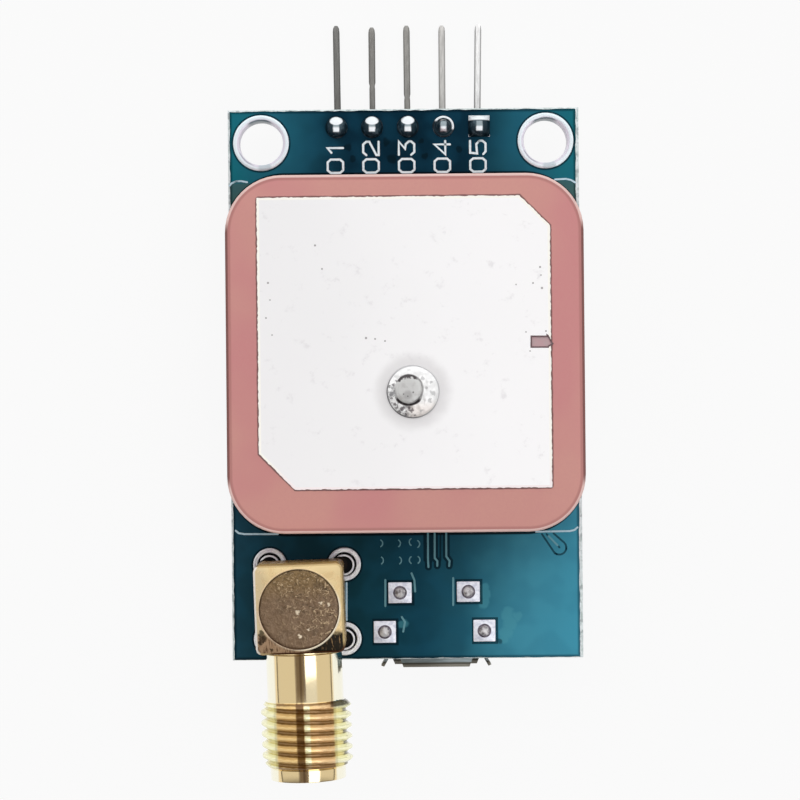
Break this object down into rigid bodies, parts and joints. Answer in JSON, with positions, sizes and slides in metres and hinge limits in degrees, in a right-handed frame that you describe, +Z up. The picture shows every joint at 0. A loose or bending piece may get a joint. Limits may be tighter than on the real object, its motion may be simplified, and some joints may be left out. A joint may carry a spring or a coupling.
{
  "type": "gps module",
  "caption": "Satellite positioning receiver board with a ceramic patch antenna, a threaded coaxial jack, a row of header pins and a micro USB socket.",
  "frame": {"origin": "middle of the module's footprint, on the surface that it rests on with the antenna facing up", "axes": "+Y along the board towards the header pins, +Z up out of the antenna's face, +X to the right seen from above with the pins at the top"},
  "size_m": [0.025, 0.0538, 0.011],
  "materials": {
    "solder_mask": "satin",
    "tinned_copper": "tinned",
    "solder": "shiny, pitted",
    "ceramic": "matt fired",
    "silver": "fired silver, satin",
    "adhesive": "matt",
    "black_plastic": "matt",
    "pin_metal": "tinned",
    "gold": "polished plating",
    "tarnished_gold": "mottled",
    "fluoropolymer": "waxy",
    "steel": "plated",
    "can_metal": "satin",
    "receiver_laminate": "satin",
    "moulding": "matt",
    "led_resin": "clear resin",
    "resistor_body": "glazed",
    "capacitor_body": "matt"
  },
  "bodies": {
    "root": {"circuit_board": "solder_mask", "mount_ring_left": "tinned_copper", "mount_ring_right": "tinned_copper", "antenna_tape": "adhesive", "antenna_ceramic": "ceramic", "antenna_electrode": "silver", "antenna_feed_pin": "solder", "feed_solder_front": "solder", "feed_solder_back": "solder", "header_base": "black_plastic", "header_pin_1": "pin_metal", "header_pin_2": "pin_metal", "header_pin_3": "pin_metal", "header_pin_4": "pin_metal", "header_pin_5": "pin_metal", "header_solder_1": "solder", "header_solder_2": "solder", "header_solder_3": "solder", "header_solder_4": "solder", "header_solder_5": "solder", "jack_block": "gold", "jack_barrel": "gold", "jack_cap": "tarnished_gold", "jack_dielectric": "fluoropolymer", "jack_bush": "fluoropolymer", "jack_contact": "gold", "jack_pad_1": "tinned_copper", "jack_pad_2": "tinned_copper", "jack_pad_3": "tinned_copper", "jack_pad_4": "tinned_copper", "jack_leg_solder_1": "solder", "jack_leg_solder_2": "solder", "jack_leg_solder_3": "solder", "jack_leg_solder_4": "solder", "jack_contact_solder": "solder", "usb_shell": "steel", "usb_tongue": "black_plastic", "usb_contact_1": "gold", "usb_contact_2": "gold", "usb_contact_3": "gold", "usb_contact_4": "gold", "usb_contact_5": "gold", "usb_leg_solder_1": "solder", "usb_leg_solder_2": "solder", "usb_leg_solder_3": "solder", "usb_leg_solder_4": "solder", "receiver_board": "receiver_laminate", "receiver_can": "can_metal", "memory_chip": "moulding", "regulator": "moulding", "backup_cell": "steel", "cell_tab_lower": "steel", "cell_tab_upper": "steel", "status_led": "led_resin", "resistor_1": "resistor_body", "resistor_2": "resistor_body", "capacitor_1": "capacitor_body", "capacitor_2": "capacitor_body", "capacitor_3": "capacitor_body"}
  },
  "joints": []
}
